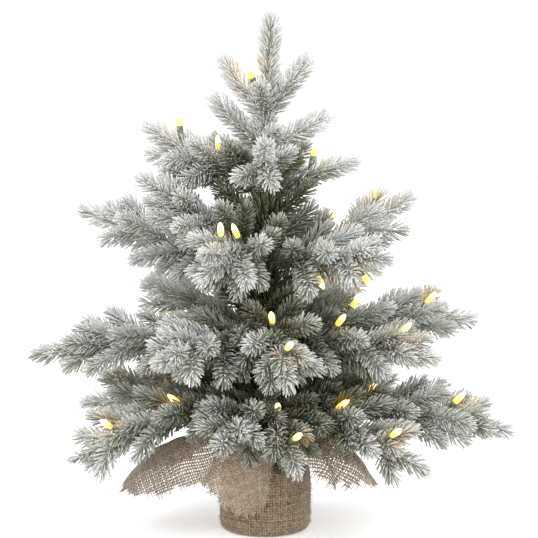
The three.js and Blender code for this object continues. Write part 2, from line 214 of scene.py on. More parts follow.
def add_turned(build, outline, sides, start, direction, tint, slot):
    """A turned solid. Its outline of radii and distances, in millimetres, is laid from start on."""
    direction = unit(direction)
    radii, along = (np.array(outline) * MM).T
    points = start + along[:, None] * direction
    side = unit(np.cross(direction, UP if abs(direction[2]) < 0.97 else [1.0, 0.0, 0.0]))
    other = np.cross(direction, side)
    angles = 2 * math.pi * np.arange(sides) / sides
    out = np.cos(angles)[:, None] * side + np.sin(angles)[:, None] * other
    rings = points[:, None] + out[None] * np.maximum(radii, 0.05 * MM)[:, None, None]
    tints = np.repeat(np.broadcast_to(tint, (len(outline), 4)), sides, 0)
    build.add(rings.reshape(-1, 3), ring_faces(len(outline), sides), tints, slot=slot)


# ---- Needles ----
# A needle is three-sided: a foot, two rings that bend towards the twig's tip, and a blunt point.
RING_AT = np.array([0.0, 0.45, 0.9])
RING_WIDTH = np.array([0.55, 0.95, 1.0])
NEEDLE_QUADS = ring_faces(3, 3, closed_ends=False)[0]
NEEDLE_TIPS = np.array([[6 + j, 6 + (j + 1) % 3, 9] for j in range(3)])


def needle_uvs():
    """Where each corner of a needle's faces lies in its own unit square: sides across, length up."""
    quads = []
    for k in range(2):
        for j in range(3):
            low, high = RING_AT[k], RING_AT[k + 1]
            quads.append([(j / 3, low), ((j + 1) / 3, low), ((j + 1) / 3, high), (j / 3, high)])
    tips = [[(j / 3, RING_AT[2]), ((j + 1) / 3, RING_AT[2]), ((j + 0.5) / 3, 1)] for j in range(3)]
    return np.array(quads), np.array(tips)


QUAD_UVS, TIP_UVS = needle_uvs()

FROST = np.array([0.91, 0.90, 0.945])
GREEN = np.array([0.078, 0.092, 0.028])
OLIVE = np.array([0.185, 0.182, 0.062])
TWIG = np.array([0.30, 0.27, 0.22])
PAINTED_LAMP_LIGHT = np.array([1.0, 0.60, 0.16])


class Sprigs:
    """Gathers the twigs of one piece, then grows all their needles at once."""

    def __init__(self, seed, lamps=()):
        """lamps are those of the same piece, whose glow is painted onto its needles."""
        self.random = np.random.default_rng(seed)
        self.twigs = []
        self.seeds = []
        self.bulbs = bulb_middles(lamps)

    def twig(self, points, bare=0.0, thick=1.15 * MM, reach=1.0, frost=0.0, core=0.0, step=WHORL_STEP):
        """A twig along a line of points, with needles in rings.

        bare is the length with no needles at its foot, and core how far from its middle the needles start.
        """
        # frost lifts or lowers the share of frost, which is partly painted light and shade.
        frost = frost + self.random.normal(0, 0.09)
        self.twigs.append((points, thick, frost))
        at = distances(points)
        length = at[-1]
        rings = max(2, int((length - bare) / step))
        ring = np.repeat(np.arange(rings), WHORL)
        count = len(ring)
        s = bare + (ring + self.random.uniform(-0.3, 0.3, count)) * step
        s = np.clip(s, 0, length)
        base = rows_at(s, at, points)
        tangent, side, up = (unit(rows_at(s, at, axis)) for axis in frames_along(points))
        roll = 2 * math.pi * (np.tile(np.arange(WHORL), rings) + 0.5 * (ring % 2)) / WHORL
        roll += self.random.normal(0, 0.16, count) + self.random.uniform(0, 6)
        out = side * np.cos(roll)[:, None] + up * np.sin(roll)[:, None]
        to_tip = (length - s) / NEEDLE_LENGTH
        lean = np.radians(TIP_LEAN + (SIDE_LEAN - TIP_LEAN) * smooth(to_tip / 1.2))
        lean = lean + self.random.normal(0, 0.07, count)
        direction = tangent * np.cos(lean)[:, None] + out * np.sin(lean)[:, None]
        long = NEEDLE_LENGTH * reach * (0.78 + 0.22 * smooth(to_tip / 0.8))
        long = long * self.random.uniform(0.88, 1.08, count)
        shade = frost + self.random.normal(0, 0.1, count)
        self.seeds.append((base + out * core, direction, tangent, out, long, shade))

    def grow(self, name, body, nodes):
        """Makes the piece, which rides on a body and replaces some nodes."""
        seeds = [np.concatenate(rows) for rows in zip(*self.seeds)]
        clear = clear_of_bulbs(seeds[0] + seeds[1] * seeds[4][:, None])
        base, direction, tangent, out, long, shade = (rows[clear] for rows in seeds)
        points, normals = self.needle_points(base, direction, tangent, long)
        # Needles that point up get more frost, partly as a painted highlight.
        frost = self.needle_frost_and_shade(base, normals, 0.26 * out[:, 2] + shade)
        build = Build()
        self.add_needles(build, points, self.needle_tints(points, frost))
        self.add_twigs(build)
        piece = build.finish(name, [needle_material()])
        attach(piece, body)
        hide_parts(*nodes)

    def needle_points(self, base, direction, tangent, long):
        """The ten points of each needle, three to a ring and its tip, and which way its three edges face."""
        count = len(base)
        across = unit(np.cross(direction, tangent))
        across = np.where(np.abs(across).sum(1, keepdims=True) < 0.5, unit(np.cross(direction, UP)), across)
        over = np.cross(direction, across)
        centres = base[:, None] + direction[:, None] * (RING_AT[None, :, None] * long[:, None, None])
        bend = NEEDLE_BEND * RING_AT**2
        centres = centres + tangent[:, None] * (bend[None, :, None] * long[:, None, None])
        width = NEEDLE_WIDTH * self.random.uniform(0.8, 1.15, count)
        turn = 2 * math.pi * (np.arange(3) / 3)[None] + self.random.uniform(0, 2.1, count)[:, None]
        normals = across[:, None] * np.cos(turn)[:, :, None] + over[:, None] * np.sin(turn)[:, :, None]
        widths = RING_WIDTH[None, :] * width[:, None]
        rings = centres[:, :, None] + normals[:, None] * widths[:, :, None, None]
        tips = base + direction * long[:, None] + tangent * (NEEDLE_BEND * long)[:, None]
        return np.concatenate([rings.reshape(count, 9, 3), tips[:, None]], 1), normals

    def needle_frost_and_shade(self, base, normals, extra):
        """Frost lies on the upper sides, towards the tips, and more at the tree's outside than within: partly
        painted light and shade.
        """
        count = len(base)
        outline = OUTLINE_RADIUS - OUTLINE_TAPER * (base[:, 2] - OUTLINE_FOOT)
        outward = np.linalg.norm(base[:, :2], axis=1) / np.maximum(outline, 0.03)
        # More frost towards the tree's outside and top, partly as painted shade within the tree.
        open_air_frost_and_shade = 0.7 * smooth((outward - 0.2) / 0.66) + 0.3 * smooth((base[:, 2] - 0.16) / 0.26)
        frost = np.empty((count, 10))
        # Upper sides frostier and needles' feet darker: partly frost, partly painted highlight and painted
        # shade.
        frost[:, :9] = 0.34 * np.tile(normals[:, None, :, 2], (1, 3, 1)).reshape(count, 9)
        frost[:, :9] += np.repeat(np.array([-0.26, 0.0, 0.12]), 3)[None]
        frost[:, 9] = 0.12
        frost += (open_air_frost_and_shade - 0.06 + extra)[:, None]
        return np.clip(frost, 0.0, MOST_FROST)[..., None]

    def needle_tints(self, points, frost):
        """Each needle's own green under its frost, with the glow of the lamps near it painted on."""
        leaf = GREEN + (OLIVE - GREEN) * self.random.uniform(0, 1, (len(points), 1, 1))
        colour = blend(leaf, FROST, frost)
        # Painted light: each lamp's warm glow painted into the colour of the needles near it.
        for bulb in self.bulbs:
            near = 0.85 * np.exp(-((np.linalg.norm(points - bulb, axis=2) / GLOW_REACH) ** 2))[..., None]
            colour = colour * (1 - near) + (0.35 + 0.65 * colour) * PAINTED_LAMP_LIGHT * near
        return np.concatenate([colour, frost], -1)

    def add_needles(self, build, points, tints):
        """Each needle has a cell of its own in the UV square, below the twigs' strip."""
        count = len(points)
        first = (np.arange(count) * 10)[:, None, None]
        grid = math.ceil(math.sqrt(count * 1.08))
        cell = np.stack([np.arange(count) % grid, np.arange(count) // grid], -1)[:, None, None] / grid
        uvs = [(cell + (0.08 + 0.84 * uv[None]) / grid) * [1, 0.92] for uv in (QUAD_UVS, TIP_UVS)]
        faces = [(NEEDLE_QUADS[None] + first).reshape(-1, 4), (NEEDLE_TIPS[None] + first).reshape(-1, 3)]
        build.add(points.reshape(-1, 3), faces, tints.reshape(-1, 4), uvs=uvs)

    def add_twigs(self, build):
        """The twigs themselves, in the strip of the UV square above the needles."""
        sides = 5
        for i, (points, thick, frost) in enumerate(self.twigs):
            n = len(points)
            rings = tube_rings(points, thick * np.linspace(1, 0.55, n), sides)
            outward = np.linalg.norm(points[:, :2], axis=1)
            # Twigs are frostier towards the tree's outside, partly as painted shade within the tree.
            light = np.clip(0.35 + frost + 0.3 * smooth(outward / 0.2), 0, 1)[:, None]
            tint = np.concatenate([blend(TWIG, FROST, light), light], -1)
            quads, foot, tip = ring_faces(n, sides)
            left = i / len(self.twigs)
            v = 0.93 + 0.065 * (quads // sides) / n
            u = left + ((quads % sides) + 0.5) / (sides + 1) / len(self.twigs)
            ends = [np.full((1, sides, 2), (left + 0.002, 0.99)) for _ in range(2)]
            uvs = [np.stack([u, v], -1), *ends]
            build.add(rings.reshape(-1, 3), [quads, foot, tip], np.repeat(tint, sides, 0), uvs=uvs)


def bulb_middles(lamps):
    return [start + unit(direction) * BULB_MIDDLE for start, direction in lamps]


def clear_of_bulbs(tips):
    """Which needles, by their tips, leave the tree's bulbs in view."""
    clear = np.ones(len(tips), bool)
    for bulb in ALL_BULBS:
        clear &= np.linalg.norm(tips - bulb, axis=1) > BULB_ROOM
    return clear


def rows_at(s, at, rows):
    """Each of a table's columns, known at the distances in at, at the distances in s."""
    return np.stack([np.interp(s, at, rows[:, i]) for i in range(rows.shape[1])], -1)


def distances(line):
    """How far along a line each of its points is."""
    return np.concatenate([[0], np.cumsum(np.linalg.norm(np.diff(line, axis=0), axis=1))])


def to_front(direction):
    """How far a direction faces the front, from 0 to 1."""
    return max(0.0, -direction[1]) ** 2


def curved(start, direction, length, lift, steps=7):
    """Points along a sprig that sets off in a direction and curls by lift, a vector, at its tip.

    Those that point to the front hang over.
    """
    t = np.linspace(0, 1, steps)[:, None]
    direction = unit(direction)
    return start + direction * length * t + (lift - FRONT_DROOP * to_front(direction) * UP) * t * t


# ---- Materials ----
BUMP_DEPTH = 0.4 * MM


def material(name, roughness, make_colour, bump=None, glow=None, **inputs):
    """A Principled material: make_colour(tree) gives its colour's socket, and bump is scale and strength."""
    made = bpy.data.materials.get(name)
    if made:
        return made
    made = bpy.data.materials.new(name)
    made.use_nodes = True
    tree = made.node_tree
    shader = tree.nodes["Principled BSDF"]
    shader.inputs["Roughness"].default_value = roughness
    for key, value in inputs.items():
        shader.inputs[key.replace("_", " ")].default_value = value
    if glow:
        shader.inputs["Emission Color"].default_value = (*glow, 1)
    tree.links.new(make_colour(tree), shader.inputs["Base Color"])
    if bump:
        add_bump(tree, shader, *bump)
    return made


def add_bump(tree, shader, scale, strength):
    node = tree.nodes.new("ShaderNodeBump")
    node.inputs["Strength"].default_value = strength
    node.inputs["Distance"].default_value = BUMP_DEPTH
    tree.links.new(noise(tree, scale), node.inputs["Height"])
    tree.links.new(node.outputs["Normal"], shader.inputs["Normal"])


def noise(tree, scale, detail=3.0):
    place = tree.nodes.new("ShaderNodeTexCoord")
    node = tree.nodes.new("ShaderNodeTexNoise")
    node.inputs["Scale"].default_value = scale
    node.inputs["Detail"].default_value = detail
    tree.links.new(place.outputs["Object"], node.inputs["Vector"])
    return node.outputs["Fac"]


def flecks(tree, scale, *stops, detail=3.0):
    """A noise that runs through the stops of a ramp, each a position and a linear colour."""
    node = tree.nodes.new("ShaderNodeValToRGB")
    elements = node.color_ramp.elements
    while len(elements) < len(stops):
        elements.new(0.5)
    for element, (position, colour) in zip(elements, stops):
        element.position = position
        element.color = (*colour, 1)
    tree.links.new(noise(tree, scale, detail), node.inputs["Fac"])
    return node.outputs["Color"]


def vertex_tint(tree):
    node = tree.nodes.new("ShaderNodeAttribute")
    node.attribute_name = "tint"
    return node.outputs["Color"]


def multiplied(tree, first, *others):
    """The product of colours, each given as a socket."""
    made = first
    for colour in others:
        node = tree.nodes.new("ShaderNodeMix")
        node.data_type = "RGBA"
        node.blend_type = "MULTIPLY"
        node.inputs[0].default_value = 1.0  # the whole of the product
        tree.links.new(made, node.inputs[6])
        tree.links.new(colour, node.inputs[7])
        made = node.outputs[2]
    return made


def flecked(name, roughness, scale, *stops, detail=3.0, **settings):
    """A material whose colour is flecks alone."""
    return material(name, roughness, lambda tree: flecks(tree, scale, *stops, detail=detail), **settings)


def needle_material():
    """The tint of each needle, with its painted lamp glow and painted light and shade, flecked where the
    flocking is thin or clotted.
    """
    def colour(tree):
        fine = flecks(tree, 900, (0.34, (0.68, 0.70, 0.62)), (0.6, (1.06, 1.06, 1.06)), detail=2)
        patches = flecks(tree, 38, (0.32, (0.80, 0.83, 0.76)), (0.68, (1.08, 1.08, 1.08)), detail=2)
        return multiplied(tree, vertex_tint(tree), fine, patches)

    return material("frosted_needle", 0.92, colour, bump=(1500, 0.5))


def cord_material():
    dark, light = (0.035, 0.06, 0.025), (0.08, 0.11, 0.05)
    return flecked("light_cord", 0.42, 160, (0.3, dark), (0.7, light), bump=(1200, 0.15))


def socket_material():
    green, dusty, frosted = (0.10, 0.14, 0.08), (0.24, 0.28, 0.21), (0.55, 0.58, 0.54)
    return flecked("lamp_socket", 0.55, 260, (0.35, green), (0.52, dusty), (0.7, frosted), bump=(700, 0.4))


def bulb_material():
    glow = (1.0, 0.60, 0.06)
    return material("lamp_bulb", 0.18, vertex_tint, glow=glow, Emission_Strength=1.1, Coat_Weight=0.5)


def tip_material():
    glow = (1.0, 0.80, 0.26)
    return material("lamp_glow", 0.2, vertex_tint, glow=glow, Emission_Strength=2.5, Coat_Weight=0.5)


# ---- Branches ----
class Stem:
    """A branch's wire, recovered from its CAD node: it leaves its hinge and turns at an even rate."""

    def __init__(self, joint, node):
        self.pivot = np.array(joint["pos_m"])
        axis = unit(joint["axis"])
        self.outward = unit(np.cross(axis, UP)) * -1
        if self.outward @ self.pivot < 0:
            self.outward = -self.outward
        self.left = np.cross(UP, self.outward)
        mesh = frame["nodes"][node].data
        points = np.empty(len(mesh.vertices) * 3)
        mesh.vertices.foreach_get("co", points)
        points = points.reshape(-1, 3) - self.pivot
        x, y, z = points @ self.outward, points @ self.left, points @ UP
        # The slopes of two chords from the hinge, to the tip and to the bare wire, give the rate of turn.
        middle = np.abs(y) < 0.08 * MM
        tip = np.argmax(np.where(middle, x * x + z * z, 0))
        whole = math.atan2(z[tip], x[tip])
        from_hinge = np.hypot(x, z)
        bare = (from_hinge > 22 * MM) & (from_hinge < BARE_WIRE) & (np.abs(y) < 1.5 * MM)
        first = math.atan2(z[bare].mean(), x[bare].mean())
        chord = length = math.hypot(x[tip], z[tip])
        at = (BARE_WIRE - 3 * MM) / 2
        for _ in range(8):
            self.rate = (whole - first) / (length / 2 - at)
            half = self.rate * length / 2
            length = chord / (math.sin(half) / half if abs(half) > 1e-6 else 1)
        self.length = length
        self.rise = whole - self.rate * length / 2

    def slope(self, s):
        return self.rise + self.rate * np.asarray(s)

    def point(self, s):
        """Where the wire is at a distance along it: a number, or an array of them."""
        start, end = self.rise, self.slope(s)
        x = (np.sin(end) - math.sin(start)) / self.rate
        z = (math.cos(start) - np.cos(end)) / self.rate
        return self.pivot + x[..., None] * self.outward + z[..., None] * UP

    def along(self, s):
        a = self.slope(s)
        return np.cos(a)[..., None] * self.outward + np.sin(a)[..., None] * UP

    def out(self, s, roll):
        a = self.slope(s)
        up = -np.sin(a)[..., None] * self.outward + np.cos(a)[..., None] * UP
        return up * math.sin(math.radians(roll)) + self.left * math.cos(math.radians(roll))

    def aim(self, s, angle, roll):
        return self.along(s) * math.cos(angle) + self.out(s, roll) * math.sin(angle)

    def beside(self, s, roll, offset):
        return self.point(s) + self.out(s, roll) * offset


def kept_off_collar(number, stem, s, roll):
    """The roll of an added sprig, turned to the upper side where it would press into the burlap collar."""
    lowest = stem.pivot[2] < LOWEST_TIER
    down = math.sin(math.radians(roll)) < 0
    if lowest and down and number not in HANGING and s < CLEAR_OF_COLLAR:
        return -roll
    return roll


def grow_branch(number, stem, rolls):
    name = f"branch_{number:02d}"
    sprigs = Sprigs(number, lamps_of(number, stem, rolls))
    random = np.random.default_rng(100 + number)
    end = stem.length - 5 * MM
    reach, droop = (OVER_CORNER_REACH, OVER_CORNER_DROOP) if number == OVER_CORNER else (1.0, 0.0)
    sprigs.twig(stem.point(np.linspace(0, end, 26)), bare=5 * MM, thick=1.5 * MM, reach=reach)

    def add_side_sprig(at, roll, length, flatten):
        direction = stem.aim(at, SPRIG_ANGLE, roll)
        lift = (SPRIG_LIFT - flatten * direction[2]) * UP + random.normal(0, SPRIG_SWAY, 3)
        lift = lift - droop * to_front(direction) * UP
        sprigs.twig(curved(stem.point(at), direction, length, lift), bare=5 * MM)

    s, pair = FIRST_SPRIG, 0
    while s <= stem.length - LAST_SPRIG + 1e-6:
        length = np.clip((stem.length - s) * SPRIG_SHARE, SHORT_SPRIG, LONG_SPRIG)
        flatten = FLATTEN * s / stem.length
        for roll in rolls[pair % 2]:
            add_side_sprig(s, roll, length - 4 * MM, flatten)
        turn = EXTRA_SPRIG_ROLL if pair % 2 else -EXTRA_SPRIG_ROLL
        roll = rolls[pair % 2][pair // 2 % 2] + turn + random.uniform(-12, 12)
        roll = kept_off_collar(number, stem, s, roll)
        add_side_sprig(s + SPRIG_PITCH * EXTRA_SPRIG_AT, roll, length * EXTRA_SPRIG_LENGTH, flatten)
        s += SPRIG_PITCH
        pair += 1
    for s, roll in ROOT_SPRIGS if stem.length > ONE_LAMP_LENGTH else ():
        roll = kept_off_collar(number, stem, s, roll)
        direction = stem.aim(s, ROOT_SPRIG_ANGLE, roll + random.uniform(-15, 15))
        lift = SPRIG_LIFT * UP + random.normal(0, SPRIG_SWAY, 3)
        sprigs.twig(curved(stem.point(s), direction, ROOT_SPRIG_LENGTH, lift), bare=4 * MM, frost=0.06)
    sprigs.grow(name + "_needles", name, [name + "_sprigs"])


# ---- Lamps ----
# Outlines of (radius, distance from the cord), in millimetres
SOCKET_OUTLINE = (
    (0.0, -0.6), (2.3, -0.4), (2.7, 0.3), (2.9, 6.0), (3.3, 6.6),
    (3.4, 14.6), (3.7, 15.0), (3.7, 16.4), (3.1, 16.8),
)
BULB_OUTLINE = ((2.9, 16.2), (3.3, 17.6), (3.8, 20.5), (3.8, 24.0), (3.6, 26.2))
TIP_OUTLINE = ((3.6, 26.2), (3.2, 29.0), (2.4, 31.6), (1.4, 33.6), (0.4, 34.7), (0.0, 34.9))
AMBER = np.array([1.0, 0.50, 0.06, 1])
CREAM = np.array([1.0, 0.86, 0.42, 1])
PLAIN = (1, 1, 1, 1)  # the tint of a piece whose colour is its material's alone
STRAND_RADIUS = 0.62 * MM
CORD_PITCH = 11 * MM


def add_lamp(build, start, direction):
    warm = blend(AMBER, CREAM, np.linspace(0, 1, len(BULB_OUTLINE))[:, None])
    solids = ((SOCKET_OUTLINE, 12, PLAIN), (BULB_OUTLINE, 10, warm), (TIP_OUTLINE, 10, CREAM))
    for slot, (outline, sides, tint) in enumerate(solids, 1):
        add_turned(build, outline, sides, start, direction, tint, slot)


def add_cord(build, route):
    """Two insulated strands twisted round each other along a smooth line through the route's points."""
    add_strands(build, spline(route, 2.2 * MM), (PLAIN, PLAIN), CORD_PITCH, STRAND_RADIUS, STRAND_RADIUS)


def spline(points, step):
    """A Catmull-Rom line through the points, in steps of about that length."""
    points = np.asarray(points, dtype=float)
    padded = np.concatenate([[2 * points[0] - points[1]], points, [2 * points[-1] - points[-2]]])
    line = []
    for a, b, c, d in zip(padded, padded[1:], padded[2:], padded[3:]):
        n = max(2, int(np.linalg.norm(c - b) / step))
        t = np.arange(n)[:, None] / n
        square, cube = 2 * a - 5 * b + 4 * c - d, 3 * b - a - 3 * c + d
        line.append(0.5 * (2 * b + (c - a) * t + square * t**2 + cube * t**3))
    return np.concatenate([*line, points[-1:]])


def finish_lights(build, name, body, node):
    piece = build.finish(name, [cord_material(), socket_material(), bulb_material(), tip_material()])
    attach(piece, body)
    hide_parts(node)


def is_lit(number):
    return f"branch_{number:02d}_lights" in frame["nodes"]


def lamp_side(number, rolls):
    return 270 if number % 3 == 0 and rolls is UP_AND_DOWN else 90


def lamp_shares(stem):
    return LAMP_SHARES if stem.length > ONE_LAMP_LENGTH else (0.5,)


def lamps_of(number, stem, rolls):
    """Where each of a branch's lamps starts, and which way it points."""
    if not is_lit(number):
        return []
    roll = lamp_side(number, rolls)
    lean = LAMP_LEAN if number % 2 else -LAMP_LEAN
    lamps = []
    for i, share in enumerate(lamp_shares(stem)):
        s = stem.length * share
        direction = stem.aim(s, LAMP_ANGLE, roll + (-lean if i % 2 else lean))
        lamps.append((stem.beside(s, roll, CORD_OFFSET), direction))
    return lamps


def light_branch(number, stem, rolls):
    if not is_lit(number):
        return
    name, roll = f"branch_{number:02d}", lamp_side(number, rolls)
    end = stem.length * lamp_shares(stem)[-1] + 2 * MM
    full = BARE_WIRE + 6 * MM
    route = [stem.beside(s * MM, roll, offset * MM) for s, offset in ((17, 3.4), (26, 4.4))]
    stretches = math.ceil((end - full) / (50 * MM))
    for i in range(stretches + 1):
        route.append(stem.beside(full + (end - full) * i / stretches, roll, CORD_OFFSET))
    build = Build()
    add_cord(build, route)
    for start, direction in lamps_of(number, stem, rolls):
        add_lamp(build, start, direction)
    finish_lights(build, name + "_lamps", name, name + "_lights")


def recover_branches():
    """Each branch's number, wire and rolls of its side sprigs."""
    hinges = {joint["child"]: joint for joint in frame["joints"]}
    branches = []
    for number in range(1, len(hinges) + 1):
        name = f"branch_{number:02d}"
        stem = Stem(hinges[name], name + "_sprigs")
        branches.append((number, stem, UPPER_SIDE if stem.pivot[2] < LOWEST_TIER else UP_AND_DOWN))
    return branches


# ---- Crown and trunk ----
TIER_HEIGHTS = (150 * MM, 232 * MM, 318 * MM, 400 * MM)
INNER_AZIMUTHS = (
    (30, 90, 182, 228, 272, 306),
    (40, 112, 208, 258, 302, 350),
    (10, 60, 110, 192, 288, 336),
    (35, 220, 310, 180),
)
INNER_LENGTH = 62 * MM
INNER_RISE = math.radians(38)
BINDING_HEIGHT = 12 * MM
TRUNK_TOP = 434 * MM
SLEEVE_RADIUS = 8.4 * MM
CROWN_FOOT = 444 * MM
# The crown's whorls: height, then azimuth, degrees from upright and length of each sprig
WHORLS = (
    (452, ((12, 66, 78), (100, 56, 66), (188, 47, 80), (285, 60, 60))),
    (490, ((0, 38, 76), (75, 42, 60), (180, 38, 74), (262, 44, 54))),
)
CROWN_LAMP = (at_azimuth(144, 9.2 * MM, 518 * MM), at_azimuth(190, 0.5, 1))


def grow_crown():
    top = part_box("crown_sprigs")[1][2]
    sprigs = Sprigs(501, [CROWN_LAMP])
    leader = np.linspace([0, 0, CROWN_FOOT], [6 * MM, 0, top - 3 * MM], 16)
    sprigs.twig(leader, thick=1.5 * MM, frost=0.55)
    for height, whorl in WHORLS:
        for azimuth, angle, length in whorl:
            direction = at_azimuth(azimuth, math.sin(math.radians(angle)), math.cos(math.radians(angle)))
            start = at_azimuth(azimuth, 1.5 * MM, height * MM)
            sprigs.twig(curved(start, direction, (length - 3) * MM, 4 * MM * UP), bare=2 * MM, frost=0.5)
    sprigs.grow("crown_needles", ROOT, ["crown_sprigs"])


def grow_inner_sprigs():
    """The short sprigs wound on the trunk above each tier, and the needles of the winding itself."""
    for tier, (height, azimuths) in enumerate(zip(TIER_HEIGHTS, INNER_AZIMUTHS), 1):
        foot = height + 5 * MM
        above = TIER_HEIGHTS[tier] if tier < len(TIER_HEIGHTS) else TRUNK_TOP + 6 * MM
        top = above - BINDING_HEIGHT - 5 * MM
        sprigs = Sprigs(510 + tier)
        winding = np.linspace([0, 0, foot - 4 * MM], [0, 0, above - 8 * MM], 8)
        core = SLEEVE_RADIUS * 0.8
        sprigs.twig(winding, thick=SLEEVE_RADIUS, core=core, reach=1.25, frost=-0.2, step=1.1 * MM)
        for i, azimuth in enumerate(azimuths):
            start = at_azimuth(azimuth, SLEEVE_RADIUS, foot + (top - foot) * (0.76 if i % 2 else 0.26))
            direction = at_azimuth(azimuth, math.cos(INNER_RISE), math.sin(INNER_RISE))
            sprigs.twig(curved(start, direction, INNER_LENGTH - 3 * MM, 5 * MM * UP), bare=0, frost=-0.1)
        sprigs.grow(f"inner_needles_{tier}", ROOT, [f"inner_sprigs_{tier}"])


def light_trunk():
    """The light string's run up the back of the trunk, and the crown's lamp."""
    stops = [(134, 8.6, 66), (134, 8.8, 96)]  # azimuth, radius and height
    climb = (
        (134, 126), (134, 150), (144, 190), (153, 232), (145, 275),
        (135, 318), (134, 360), (135, 400), (140, 450),
    )
    stops += [(azimuth, 10.8, height) for azimuth, height in climb]
    run = Build()
    add_cord(run, [at_azimuth(azimuth, radius * MM, height * MM) for azimuth, radius, height in stops])
    finish_lights(run, "trunk_cord", ROOT, "light_string_run")
    crown = Build()
    side = 140
    stops = ((side, 10.5, 452), (side, 10, 470), (side, 9.2, 500), (side + 4, 9.2, 520))
    add_cord(crown, [at_azimuth(azimuth, radius * MM, height * MM) for azimuth, radius, height in stops])
    add_lamp(crown, *CROWN_LAMP)
    finish_lights(crown, "crown_lamp", ROOT, "crown_lights")


# ---- Burlap ----
# The sack's darkest yarn tone, which is also the colour of its painted shade
YARN_DARK_AND_SHADE = np.array([0.05, 0.032, 0.018])
YARN_SACK = np.array([0.46, 0.355, 0.24])
YARN_BROWN = np.array([0.26, 0.18, 0.115])
YARN_PALE = np.array([0.51, 0.42, 0.335])
SACK_PITCH = 3.2 * MM  # from one yarn to the next, with a vertex on each yarn and one between
SACK_FUZZ = 1300
SACK_NECK = 13.2 * MM
SACK_PLEATS = 13


def burlap_material():
    """The tint of each yarn, which holds some painted highlight and shade, with its fibres, clumps of them,
    and faint stains.
    """
    def colour(tree):
        fibres = flecks(tree, 1500, (0.36, (0.55, 0.53, 0.50)), (0.64, (1.25, 1.25, 1.25)))
        clumps = flecks(tree, 420, (0.36, (0.70, 0.68, 0.64)), (0.62, (1.16, 1.16, 1.16)))
        stains = flecks(tree, 28, (0.3, (0.84, 0.82, 0.79)), (0.7, (1.08, 1.08, 1.08)))
        return multiplied(tree, vertex_tint(tree), fibres, clumps, stains)

    return material("burlap", 0.95, colour, bump=(1300, 1.0), Sheen_Weight=0.3)


def finish_cloth(build, name, node):
    piece = build.finish(name, [burlap_material()])
    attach(piece, ROOT)
    if node:
        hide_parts(node)
    return piece


def arc(centre, radius, start, end, steps):
    """Points on an arc in the outline's own plane, from one angle to another in degrees."""
    a = np.radians(np.linspace(start, end, steps))
    return np.stack([centre[0] + radius * np.cos(a), centre[1] + radius * np.sin(a)], -1)


def resampled(line, step):
    at = distances(line)
    s = np.linspace(0, at[-1], max(2, round(at[-1] / step)))
    return rows_at(s, at, line), s


def cover_outline(radius, neck, top):
    return np.concatenate([
        [[0.5 * MM, 0.2 * MM], [30 * MM, 0.2 * MM]],
        arc((radius - 6 * MM, 6.2 * MM), 6 * MM, -90, 0, 7),
        [[radius + 0.3 * MM, 40 * MM]],
        arc((radius - 17 * MM, 66 * MM), 17 * MM, 0, 62, 9),
        [[30 * MM, 92.5 * MM], [neck + 4 * MM, 97.5 * MM], [neck, top]],
        [[neck - 1.5 * MM, top], [neck - 1.5 * MM, top - 6 * MM]],
    ])


def make_cover():
    """The sack over the base: a turned skin with the weave's relief, wrinkles and pleats towards the neck."""
    low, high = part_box("burlap_cover")
    radius = high[0] - 0.6 * MM
    line, s = resampled(cover_outline(radius, SACK_NECK, high[2]), SACK_PITCH / 2)
    rows, around = len(line), 2 * round(2 * math.pi * radius / SACK_PITCH)
    slope = unit(np.gradient(line, axis=0))
    normal = np.stack([slope[:, 1], -slope[:, 0]], -1)
    k, j = np.meshgrid(np.arange(rows), np.arange(around), indexing="ij")
    angle = 2 * math.pi * j / around
    random = np.random.default_rng(7)
    # The weave stands out where two yarns cross and is sunk between four of them, a little unevenly.
    on_row, on_column = k % 2 == 0, j % 2 == 0
    relief = np.where(on_row & on_column, 0.95, np.where(on_row | on_column, -0.05, -1.2))
    relief = relief + np.where((k // 2 + j // 2) % 2 == 0, 0.16, -0.16)
    relief = relief * (0.68 + 0.32 * random.uniform(-1, 1, k.shape))
    wall = smooth((s - 50 * MM) / (15 * MM))[:, None]
    shoulder = smooth((line[:, 1] - 70 * MM) / (25 * MM))[:, None] * (radius > line[:, :1])
    wave = 0.5 * np.sin(5 * angle + 60 * line[:, 1:2]) + 0.4 * np.sin(11 * angle - 90 * line[:, 1:2] + 1)
    pleats = np.sin(SACK_PLEATS * angle + 0.6)
    pleat = 1.5 * pleats * np.minimum(1, line[:, :1] / (20 * MM)) - 0.6
    height = (relief * (0.35 + 0.65 * wall) + wave * wall + pleat * shoulder) * MM
    height = np.where(line[:, 1:2] < 0.6 * MM, np.minimum(height, 0), height)
    r = line[:, :1] + normal[:, :1] * height
    z = line[:, 1:2] + normal[:, 1:] * height
    points = np.stack([r * np.cos(angle), r * np.sin(angle), np.broadcast_to(z, r.shape)], -1)
    points[..., 2] = np.maximum(points[..., 2], low[2] + 0.05 * MM)
    yarn = random.normal(0, 0.06, rows)[:, None] + random.normal(0, 0.06, around)[None]
    # Painted shade in the pleats' valleys, darker towards the neck.
    valley_shade = smooth((line[:, 1:2] - 64 * MM) / (24 * MM)) * (0.66 - 0.34 * pleats)
    # The tint follows the weave's relief: painted highlight on the crossings and painted shade in the sunk
    # gaps.
    share = 0.60 + yarn + random.normal(0, 0.12, k.shape) + 0.55 * relief
    share = np.clip(share * (1 - 0.85 * valley_shade), 0, 1)[..., None]
    tints = np.concatenate([blend(YARN_DARK_AND_SHADE, YARN_SACK, share), share], -1)
    build = Build()
    quads = ring_faces(rows, around, closed_ends=False)[0][:, ::-1]
    build.add(points.reshape(-1, 3), [quads, np.arange(around)[None]], tints.reshape(-1, 4))
    wall_start = np.argmax(s > 52 * MM)
    skin = points[wall_start:]
    add_fuzz(build, random, skin, unit(skin * [1, 1, 0]), SACK_FUZZ, YARN_SACK * 1.25)
    finish_cloth(build, "burlap_sack", "burlap_cover")


